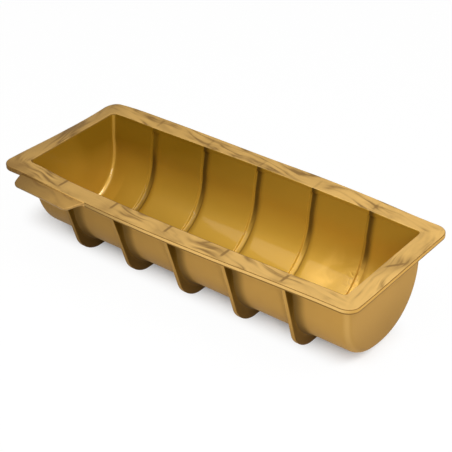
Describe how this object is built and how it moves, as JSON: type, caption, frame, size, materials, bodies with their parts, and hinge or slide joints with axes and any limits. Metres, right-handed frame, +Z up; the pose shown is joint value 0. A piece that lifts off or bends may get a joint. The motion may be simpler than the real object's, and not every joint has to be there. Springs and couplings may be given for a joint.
{
  "type": "silicone cake mould",
  "caption": "half-round silicone log cake mould with slice grooves, outer support ribs that form its feet, a flat rim and a flexible pull tab",
  "frame": {"origin": "middle of the flat foot of the middle rib, on the surface that the mould stands on", "axes": "+X along the log with the pull tab towards -X, +Y to the back, +Z up out of the mouth"},
  "size_m": [0.2512, 0.1139, 0.0565],
  "materials": {
    "trough_silicone": "gold pearl pigment in silicone, glossy inside the trough",
    "rib_silicone": "gold pearl pigment in silicone, satin",
    "rim_silicone": "gold pearl pigment in silicone, satin, with darker flow streaks"
  },
  "bodies": {
    "mould_body": {"rim_flange": "rim_silicone", "bay_wall_1": "trough_silicone", "bay_wall_2": "trough_silicone", "bay_wall_3": "trough_silicone", "bay_wall_4": "trough_silicone", "bay_wall_5": "trough_silicone", "bay_wall_6": "trough_silicone", "support_rib_1": "rib_silicone", "support_rib_2": "rib_silicone", "support_rib_3": "rib_silicone", "support_rib_4": "rib_silicone", "support_rib_5": "rib_silicone", "end_wall_left": "trough_silicone", "end_wall_right": "trough_silicone"},
    "tab_body": {"pull_tab": "rim_silicone"}
  },
  "joints": [
    {"name": "tab_flex", "type": "hinge", "parent": "mould_body", "child": "tab_body", "pos_m": [-0.08404, -0.0514, 0.05515], "axis": [-0.9995, 0.0321, 0], "range_deg": [-70, 100], "stiffness_Nm_per_rad": 0.018}
  ]
}
